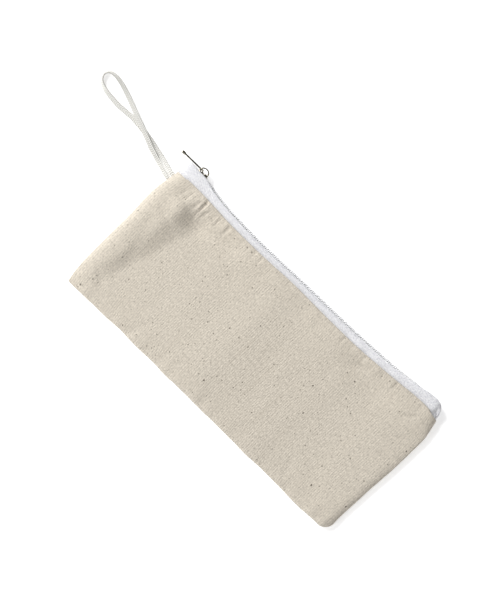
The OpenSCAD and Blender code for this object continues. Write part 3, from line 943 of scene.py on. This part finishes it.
def tape_rows(u, side, height):
    """Lines of points that run along the tape, from its edge by the coil to the hem."""
    open_share = tape_open(u)
    x_zip = tape_x(u) * MM
    turn = np.radians(tape_turn(u))
    out_most = overhang(x_zip) * (1 if side > 0 else 0.4)
    reach = 1 if side > 0 else 0.94
    lines = []
    for share, extra, rise in TAPE_EDGE:
        x, y, z = chain_point(x_zip, 0, side * rise * MM * open_share * reach)
        out = (share * out_most + extra) * MM
        y = y + tape_drop(u) * MM + out * np.cos(turn)
        lines.append(np.stack([x + out * np.sin(turn), y, z], axis=1))

    def under_canvas(back):
        v = 1 - back * MM / HEIGHT + 0 * u
        x, y = outline_point(u, v)
        z = height(u, v) - side * (2 * HEM_R + TAPE_T / 2 + 0.12 * MM)
        z = SEAM_Z + side * np.maximum(side * (z - SEAM_Z), 0.3 * MM)
        return np.stack([x, y, z], axis=1)

    crest, hem = lines[-1], under_canvas(0)
    ripple = 0.3 * MM * soft_noise(hem[:, 0], 0 * u, 7 * MM, 1, 51 + side) * open_share
    for t in (0.16, 0.34, 0.52, 0.7, 0.86):
        row = crest * (1 - t) + hem * t
        row[:, 2] += side * ripple * math.sin(math.pi * t)
        lines.append(row)
    for row in lines[5:]:
        row[:, 2] -= side * TUCK_DEPTH * gauss(row[:, 0], TUCK_X, 1.1 * MM)
    return lines + [under_canvas(back) for back in TAPE_UNDER]


def add_tape(name, side, height, node):
    us = spaced(LENGTH, 1.2 * MM) / LENGTH
    lines = tape_rows(us, side, height)
    points = np.stack(lines)
    step = np.linalg.norm(np.diff(points, axis=0), axis=2)
    across = np.concatenate([0 * step[:1], np.cumsum(step, axis=0)])
    cloth = np.stack([np.broadcast_to(us * LENGTH, across.shape), across, 0 * across], axis=-1)
    faces = grid_faces(len(lines), len(us), flip=side > 0)
    tape = add_mesh(name, points.reshape(-1, 3), faces, cloth.reshape(-1, 3))
    thicken(tape, TAPE_T, 0)
    dress(tape, "case", TAPE, "zip_tape", node)


for half, side, surface in HALVES:
    add_tape(half + "_tape", side, surface, half + "_zip_tape")


# ---------------------------------------------------------------------------------------
# Coils

PITCH = 1.3 * MM
WIRE_R = 0.31 * MM
CHAIN_HALF = 2.0 * MM
HEAD = -0.4 * MM
SPLIT_X = SLIDER_LEFT + 3.3 * MM
SPLIT_SLOPE = 0.57
SPLIT_MOST = 1.2 * MM
TURNS = int((COIL_END - COIL_START) / PITCH) - 1


def coil_spread(x):
    """How far each coil swings aside at x to pass the slider's wedge."""
    return np.clip((SPLIT_X - x) * SPLIT_SLOPE, 0, SPLIT_MOST)


def add_coil(name, side, shift, node):
    """A flattened helix of nylon: long legs across the chain, tight bends at both ends."""
    per_turn = 16
    turn = np.arange(TURNS * per_turn + 1) / per_turn
    angle = turn * 2 * math.pi
    x = COIL_START + WIRE_R + shift + turn * PITCH
    half = (CHAIN_HALF - HEAD) / 2 - WIRE_R
    middle = (CHAIN_HALF + HEAD) / 2
    c, s = np.cos(angle), np.sin(angle)
    rise = middle + half * np.sign(c) * np.abs(c) ** 0.7 + coil_spread(x)
    leg = (COIL_HIGH - COIL_LOW) / 2 - WIRE_R
    out = (COIL_LOW + COIL_HIGH) / 2 - ZIP_Y + leg * np.sign(s) * np.abs(s) ** 0.6
    # both legs of a turn lie at one place along the zip, and the bends step to the next turn
    x = x + PITCH / 4 * np.sin(angle)
    path = np.stack(chain_point(x, out, side * rise), axis=1)
    coil = add_tube(name, path, circle_section(WIRE_R, 7), up=(1, 0, 0))
    dress(coil, "case", NYLON, "nylon_coil", node)


for half, side, _ in HALVES:
    add_coil(half + "_coil_wire", side, 0 if side > 0 else PITCH / 2, half + "_coil")


def chain_line(step):
    return np.arange(COIL_START, COIL_END, step)


def add_core(name, side, node):
    """Twisted filler cord inside a coil."""
    x = chain_line(0.3 * MM)
    rise = 0.85 * MM + coil_spread(x)
    out = (COIL_LOW + COIL_HIGH) / 2 - ZIP_Y
    path = np.stack(chain_point(x, out + 0 * x, side * rise), axis=1)
    turns = x / (1.8 * MM) * 2 * math.pi
    angles = np.arange(8) * math.pi / 4
    swell = 1 + 0.08 * np.cos(2 * (angles[None] - turns[:, None]))
    thin, wide = 0.3 * MM, 0.66 * MM
    section = np.stack([swell * np.cos(angles) * thin, swell * np.sin(angles) * wide], axis=2)
    core = add_tube(name, path, section)
    dress(core, "case", CORE, "core_cord", node)


for half, side, _ in HALVES:
    add_core(half + "_core", side, half + "_core_cord")


def add_coil_stitches(name, side, node):
    """Two threads that hop over each turn of the coil and dip to the tape between turns."""
    parts = []
    for row, rise in enumerate((0.75 * MM, 1.45 * MM)):
        x = chain_line(PITCH / 6)
        x = x[x > SPLIT_X + 0.4 * MM]
        top = COIL_HIGH - ZIP_Y + 0.06 * MM
        first = PITCH / 2 if side < 0 else 0
        hop = np.cos((x - COIL_START - WIRE_R - first) / PITCH * 2 * math.pi + math.pi / 2)
        out = top - 0.16 * MM * (1 - hop)
        sway = 0.1 * MM * np.sin(x / PITCH * math.pi + row)
        path = np.stack(chain_point(x, out, side * (rise + sway)), axis=1)
        parts.append(add_tube("thread", path, circle_section(0.11 * MM, 6)))
    stitches = join(name, parts)
    dress(stitches, "case", COIL_THREAD, "coil_thread", node)


for half, side, _ in HALVES:
    add_coil_stitches(half + "_coil_threads", side, half + "_coil_stitching")


# ---------------------------------------------------------------------------------------
# Seam threads inside the pouch

STITCH = 3 * MM


def along_edge(edge, inset, count):
    """Points "inset" inside one edge of the pouch, at seam height, and the way inwards."""
    t = np.linspace(0.05, 0.95, count)
    if edge == "bottom":
        u, v, way = t, 0 * t, (0, 1, 0)
    elif edge == "left":
        u, v, way = 0 * t, t * 0.9, (1, 0, 0)
    else:
        u, v, way = 0 * t + 1, t * 0.9, (-1, 0, 0)
    x, y = outline_point(u, v)
    line = np.stack([x, y, seam_height(v)], axis=1) + np.array(way) * inset
    return line, np.array(way, float)


def resample(line, step):
    """Points every step metres along a line, and how far along each one is."""
    length = np.concatenate([[0], np.cumsum(np.linalg.norm(np.diff(line, axis=0), axis=1))])
    places = np.arange(0, length[-1], step)
    return np.stack([np.interp(places, length, line[:, k]) for k in range(3)], axis=1), places


def add_seam(name, line, depth, node):
    """A row of lockstitches: two threads that swap faces of the cloth once a stitch."""
    path, places = resample(line, STITCH / 10)
    parts = []
    for sign in (1, -1):
        wave = np.tanh(2.2 * np.sin(places / STITCH * math.pi)) * depth * sign
        parts.append(add_tube("thread", path + np.outer(wave, (0, 0, 1)), circle_section(0.12 * MM, 5),
                              up=(0.3, 0.9, 0.3)))
    dress(join(name, parts), "case", SEWING, "sewing_thread", node)


def add_overcast(name, edge, node):
    """A thread wound over the raw edges of two seam allowances."""
    line, way = along_edge(edge, ALLOWANCE - 1.1 * MM, 160)
    path, places = resample(line, 0.22 * MM)
    angle = places / (3.2 * MM) * 2 * math.pi
    path = path + np.outer(np.cos(angle) * 1.25 * MM, way)
    path = path + np.outer(np.sin(angle) * (CANVAS_T + 0.2 * MM), (0, 0, 1))
    thread = add_tube(name, path, circle_section(0.12 * MM, 5), up=(0.3, 0.9, 0.3))
    dress(thread, "case", SEWING, "sewing_thread", node)


for edge in ("left", "right", "bottom"):
    seam_line, _ = along_edge(edge, 1.1 * MM, 160)
    add_seam(edge + "_seam", seam_line, CANVAS_T + 0.12 * MM, edge + "_seam_thread")
    add_overcast(edge + "_overcast", edge, edge + "_overcast_thread")


def hem_line(side, height):
    """Line of the seam that joins a tape to its panel, a little inside the folded edge."""
    u = np.linspace(0.04, 0.96, 300)
    v = 1 - 1.6 * MM / HEIGHT + 0 * u
    x, y = outline_point(u, v)
    return np.stack([x, y, height(u, v) - side * (2 * HEM_R + TAPE_T / 2)], axis=1)


for half, side, surface in HALVES:
    add_seam(half + "_zip_seam", hem_line(side, surface), 0.42 * MM, half + "_zip_seam_thread")


def add_bar_tack():
    """Close zigzag through the allowance and both ends of the braid."""
    low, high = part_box("loop_bar_tack")
    middle = (np.array(low) + np.array(high)) / 2
    t = np.linspace(0, 1, 240)
    path = np.stack([middle[0] + 0.7 * MM * np.sin(t * 60), low[1] + (high[1] - low[1]) * t,
                     middle[2] + (CANVAS_T + 0.1 * MM) * np.cos(t * 30)], axis=1)
    tack = add_tube("loop_tack", path, circle_section(0.12 * MM, 5), up=(0.3, 0.2, 0.9))
    dress(tack, "case", SEWING, "sewing_thread", "loop_bar_tack")


add_bar_tack()


# ---------------------------------------------------------------------------------------
# Slider, bridge, pull tab and stops


def bevelled(piece, width, segments=3):
    """The piece with its sharp edges rounded."""
    bevel = piece.modifiers.new("edges", "BEVEL")
    bevel.width = width
    bevel.segments = segments
    bevel.limit_method = "ANGLE"
    bevel.angle_limit = math.radians(35)
    apply_modifiers(piece)
    piece.data.shade_smooth()
    return piece


def plan_solid(name, outline, low, high, bevel):
    """A plan of (x, z) points, extruded from y = low to y = high, with rounded edges."""
    count = len(outline)
    points = [(x, low, z) for x, z in outline] + [(x, high, z) for x, z in outline]
    faces = [tuple(range(count)), tuple(range(2 * count - 1, count - 1, -1))]
    for i in range(count):
        j = (i + 1) % count
        faces.append((i, i + count, j + count, j))
    piece = add_mesh(name, points, faces)
    fix = bmesh.new()
    fix.from_mesh(piece.data)
    bmesh.ops.recalc_face_normals(fix, faces=fix.faces)
    fix.to_mesh(piece.data)
    fix.free()
    return bevelled(piece, bevel)


PLATE_T = 0.75 * MM
TAPE_GAP = 0.125 * MM
LUG_HALF_X, LUG_HALF_Z = 0.9, 1.3
CROWN_Y = PLATE_HIGH - 0.35 * MM
plate_half = curve(
    [(0, 2.6), (0.25, 3.3), (0.9, 3.75), (1.8, 3.9), (2.8, 3.72), (4.2, 2.95), (5, 2.75),
     (6.5, 2.72), (7, 2.35)]
)
channel_half = curve([(0, 3.3), (1.8, 3.3), (3, 2.85), (4.2, 2.3), (7, 2.25)])


def slider_outline():
    xs = np.concatenate([[0, 0.12, 0.25, 0.5], np.linspace(0.9, 6.5, 15), [6.8, 7]])
    upper = [(SLIDER_LEFT + x * MM, SEAM_Z + plate_half(x) * MM) for x in xs]
    lower = [(SLIDER_LEFT + x * MM, SEAM_Z - plate_half(x) * MM) for x in xs[::-1]]
    return [(float(a), float(b)) for a, b in upper + lower]


def flange_outline(side):
    xs = np.linspace(0.5, 6.9, 18)
    outer = [(SLIDER_LEFT + x * MM, SEAM_Z + side * plate_half(x) * MM) for x in xs]
    inner = [(SLIDER_LEFT + x * MM, SEAM_Z + side * channel_half(x) * MM) for x in xs[::-1]]
    return [(float(a), float(b)) for a, b in outer + inner]


def add_slider():
    """Two shield-shaped plates with flanges, joined by the wedge that parts the coils."""
    tape_low, tape_high = ZIP_Y - TAPE_T / 2 - TAPE_GAP, ZIP_Y + TAPE_T / 2 + TAPE_GAP
    plate = slider_outline()
    lap = 0.3 * MM
    parts = [
        plan_solid("plate", plate, PLATE_LOW, PLATE_LOW + PLATE_T, 0.24 * MM),
        plan_solid("plate", plate, PLATE_HIGH - PLATE_T, CROWN_Y, 0.06 * MM),
    ]
    for side in (1, -1):
        rim = flange_outline(side)
        parts.append(plan_solid("rim", rim, PLATE_LOW + PLATE_T - lap, tape_low, 0.08 * MM))
        parts.append(plan_solid("rim", rim, tape_high, PLATE_HIGH - PLATE_T + 0.15 * MM, 0.08 * MM))
    wedge = [(0, 0.4), (0.5, 0.62), (1.1, 0.62), (2.5, 0.02), (2.5, -0.02), (1.1, -0.62),
             (0.5, -0.62), (0, -0.4)]
    wedge = [(SLIDER_LEFT + x * MM, SEAM_Z + z * MM) for x, z in wedge]
    wedge_low, wedge_high = PLATE_LOW + PLATE_T - lap, PLATE_HIGH - PLATE_T + 0.15 * MM
    parts.append(plan_solid("wedge", wedge, wedge_low, wedge_high, 0.05 * MM))
    for middle, top in ((-0.7, 0.33), (1.7, 0.46)):
        near, far = middle - LUG_HALF_X, middle + LUG_HALF_X
        lug = [(near, -LUG_HALF_Z), (far, -LUG_HALF_Z), (far, LUG_HALF_Z), (near, LUG_HALF_Z)]
        lug = [(PIVOT.x + x * MM, PIVOT.z + z * MM) for x, z in lug]
        parts.append(plan_solid("lug", lug, CROWN_Y - 0.2 * MM, PLATE_HIGH + top * MM, 0.2 * MM))
    slider = join("slider_shell", parts)
    dress(slider, "slider", SLIDER_METAL, "slider_metal", "slider_body")


def add_bridge():
    """A flat band bent to a low arch, whose feet spread where they meet the plate."""
    radius, rise, foot = 2.75 * MM, 2.16 * MM, PIVOT.y - CROWN_Y
    path = [(-radius, -foot - 0.1 * MM), (-radius, -foot * 0.5)]
    path += [(-radius * math.cos(a), rise * math.sin(a)) for a in np.linspace(0, math.pi, 40)]
    path += [(radius, -foot * 0.5), (radius, -foot - 0.1 * MM)]
    path = np.array([(PIVOT.x + x, PIVOT.y + y, PIVOT.z) for x, y in path])
    corner = 0.2
    half_w, half_t = 0.85 * MM, 0.4 * MM
    angles = np.arange(16) * math.pi / 8
    across = np.sign(np.cos(angles)) * np.abs(np.cos(angles)) ** corner * half_t
    through = np.sign(np.sin(angles)) * np.abs(np.sin(angles)) ** corner * half_w
    height = (path[:, 1] - (CROWN_Y - 0.1 * MM)) / foot
    flare = 1 + 0.45 * np.clip(1 - height / 0.9, 0, 1) ** 2
    thin = 1 - 0.1 * smoothstep(path[:, 1] - PIVOT.y, 0, rise)
    across = across[None] * (flare * thin)[:, None]
    section = np.stack([across, through[None] * flare[:, None]], axis=2)
    bridge = add_tube("slider_crown", path, section, up=(0, 0, 1))
    dress(bridge, "slider", SLIDER_METAL, "slider_metal", "slider_bridge")


def ring_plate(name, outer, inner, thickness, middle_y):
    """A flat plate with a hole. outer and inner are loops of as many (x, z) points each."""
    count = len(outer)
    points = []
    for loop in (outer, inner):
        t = thickness(np.array([p[0] for p in loop]))
        points += [(x, middle_y - h / 2, z) for (x, z), h in zip(loop, t)]
        points += [(x, middle_y + h / 2, z) for (x, z), h in zip(loop, t)]
    a, b, c, d = 0, count, 2 * count, 3 * count
    faces = []
    for i in range(count):
        j = (i + 1) % count
        faces.append((a + i, a + j, b + j, b + i))
        faces.append((c + j, c + i, d + i, d + j))
        faces.append((b + i, b + j, d + j, d + i))
        faces.append((a + j, a + i, c + i, c + j))
    return bevelled(add_mesh(name, points, faces), 0.27 * MM, 4)


def blade_thickness(x):
    """Thickness of the pull's blade at x, with a swelling beside the bridge."""
    return (0.92 + 0.2 * np.exp(-(((PIVOT.x - x) / MM - 1.2) / 0.5) ** 2)) * MM


def add_pull():
    """The pull tab: an eye round the bridge, a waisted blade and a thick rounded tip."""
    low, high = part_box("pull_tab")
    tip, width = PIVOT.x - low[0], high[2] - low[2]
    half = curve([(1.15, 1.5), (1.5, 1.75), (3.6, 1.75), (4.6, 1.95), (6.5, 2.1), (11, 2.35),
                  (15.5, 2.5), (tip / MM - 1, 2.5)])
    places = np.concatenate([np.linspace(1.15, 4.6, 12), np.linspace(5.2, tip / MM - 0.9, 16)])
    upper = [(PIVOT.x - p * MM, PIVOT.z + float(half(p)) * MM) for p in places]
    lower = [(PIVOT.x - p * MM, PIVOT.z - float(half(p)) * MM) for p in places[::-1]]
    outer = upper + lower
    # the eye's loop: a rounded slot, with a point for every point of the outline
    count = len(outer)
    centre = (1.85 + 3.6) / 2
    inner = []
    for x, z in outer:
        angle = math.atan2((z - PIVOT.z) / (1.6 * MM), (PIVOT.x - x - centre * MM) / (2.6 * MM))
        c, s = math.cos(angle), math.sin(angle)
        inner.append((
            PIVOT.x - (centre + 0.87 * math.copysign(abs(c) ** 0.5, c)) * MM,
            PIVOT.z + 1.1 * MM * math.copysign(abs(s) ** 0.5, s),
        ))
    blade = ring_plate("blade", outer, inner, blade_thickness, PIVOT.y)
    roll = 0.9 * MM
    bars = []
    near, far = PIVOT.x - tip + 3.2 * MM - roll, PIVOT.x - tip + roll
    for end in (near, far):
        path = np.array([(end, PIVOT.y, PIVOT.z + z * MM) for z in np.linspace(-2.5, 2.5, 24)])
        edge = np.clip((np.abs(path[:, 2] - PIVOT.z) - 1.9 * MM) / (0.65 * MM), 0, 1)
        section = circle_section(roll, 20)[None] * np.sqrt(1 - 0.8 * edge ** 2)[:, None, None]
        bars.append(add_tube("bar", path, section, up=(1, 0, 0)))
    filling = [(near, -2.3), (far, -2.3), (far, 2.3), (near, 2.3)]
    filling = [(x, PIVOT.z + z * MM) for x, z in filling]
    bars.append(plan_solid("filling", filling, PIVOT.y - roll, PIVOT.y + roll, 0.1 * MM))
    eye_x = PIVOT.x - 1.3 * MM
    eye = np.array([(eye_x, PIVOT.y, PIVOT.z + z * MM) for z in (-1.5, -1.4, 0, 1.4, 1.5)])
    bars.append(add_tube("eye", eye, circle_section(0.46 * MM, 16), up=(1, 0, 0)))
    pull = join("pull", [blade] + bars)
    dress(pull, "pull", PULL_METAL, "pull_metal", "pull_tab")


add_slider()
add_bridge()
add_pull()

for stop in ("front_top_stop", "back_top_stop", "bottom_stop"):
    mesh = frame["nodes"][stop].data
    mesh.materials.clear()
    mesh.materials.append(STOP_METAL)


# ---------------------------------------------------------------------------------------
# Floor and lights


def add_floor():
    size = 3.0
    corners = [(-size, -size, 0), (size, -size, 0), (size, size, 0), (-size, size, 0)]
    floor = add_mesh("floor", corners, [(0, 1, 2, 3)])
    floor.location.z = -0.02 * MM
    floor.data.materials.append(floor_material("floor_paper"))


def add_area_light(name, place, size, power):
    data = bpy.data.lights.new(name, "AREA")
    data.size = size
    data.energy = power
    light = bpy.data.objects.new(name, data)
    light.location = place
    aim = Vector((0, 0, 0)) - Vector(place)
    light.rotation_euler = aim.to_track_quat("-Z", "Y").to_euler()
    bpy.context.scene.collection.objects.link(light)


# the dark ceiling round the camera, which gives the metal its dark faces
DARK_WAY = (0, math.sin(math.radians(24)), math.cos(math.radians(24)))
DARK_NEAR, DARK_FAR = math.radians(30), math.radians(44)


def add_lights():
    """A bright room with a dark ceiling, a large lamp at the left and a small one in front."""
    world = bpy.data.worlds.new("studio")
    world.use_nodes = True
    tree = world.node_tree
    sky = tree.nodes["Background"]
    sky.inputs["Color"].default_value = (1, 1, 1, 1)
    way = tree.nodes.new("ShaderNodeTexCoord")
    near = tree.nodes.new("ShaderNodeVectorMath")
    near.operation = "DOT_PRODUCT"
    near.inputs[1].default_value = DARK_WAY
    tree.links.new(way.outputs["Generated"], near.inputs[0])
    level = tree.nodes.new("ShaderNodeMapRange")
    for key, value in (("From Min", math.cos(DARK_FAR)), ("From Max", math.cos(DARK_NEAR)),
                       ("To Min", 0.6), ("To Max", 0.02)):
        level.inputs[key].default_value = value
    tree.links.new(near.outputs["Value"], level.inputs["Value"])
    tree.links.new(level.outputs[0], sky.inputs["Strength"])
    bpy.context.scene.world = world
    add_area_light("key", (-2.0, 0.3, 1.6), 1.2, 71)
    add_area_light("rim", (-0.6, -1.6, 1.3), 0.5, 7)


add_floor()
add_lights()
bpy.context.scene.view_settings.view_transform = "Standard"
